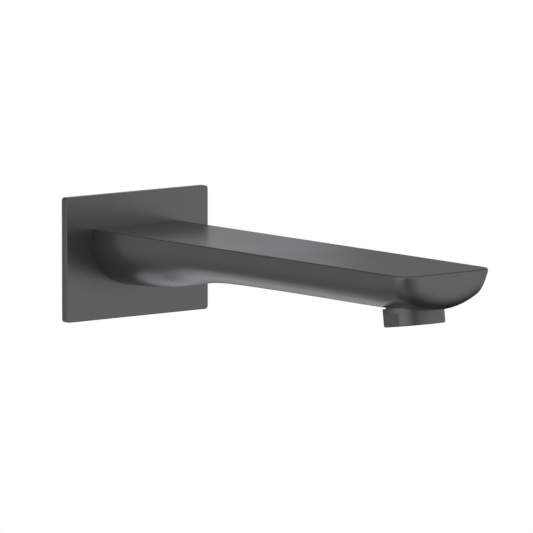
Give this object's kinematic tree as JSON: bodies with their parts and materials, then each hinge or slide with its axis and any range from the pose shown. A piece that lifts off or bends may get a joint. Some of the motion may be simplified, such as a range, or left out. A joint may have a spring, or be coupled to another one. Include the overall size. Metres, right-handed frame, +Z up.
{
  "type": "bath spout",
  "caption": "Wall-mounted bath spout: a flat-topped arm with a rounded belly on a rectangular wall plate, with a leaning aerator under its tip.",
  "frame": {"origin": "on the wall, at the middle of the wall plate's back", "axes": "+Y into the wall along the inlet, +Z up, so the spout reaches along -Y"},
  "size_m": [0.08, 0.2361, 0.056],
  "materials": {
    "satin_anthracite": "satin",
    "brass": "turned",
    "steel": "brushed",
    "black_rubber": "matt",
    "foam": "closed-cell foam",
    "white_plastic": "moulded",
    "grey_plastic": "moulded"
  },
  "bodies": {
    "root": {"wall_plate": "satin_anthracite", "plate_seal": "foam", "plate_ring": "black_rubber", "wall_connector": "brass", "connector_ring_rear": "black_rubber", "connector_ring_front": "black_rubber", "grub_screw": "steel", "spout_body": "satin_anthracite", "aerator_collar": "satin_anthracite", "aerator_washer": "black_rubber", "aerator_insert": "white_plastic", "aerator_jet_disc": "white_plastic", "aerator_screen": "grey_plastic", "aerator_honeycomb": "grey_plastic"}
  },
  "joints": []
}
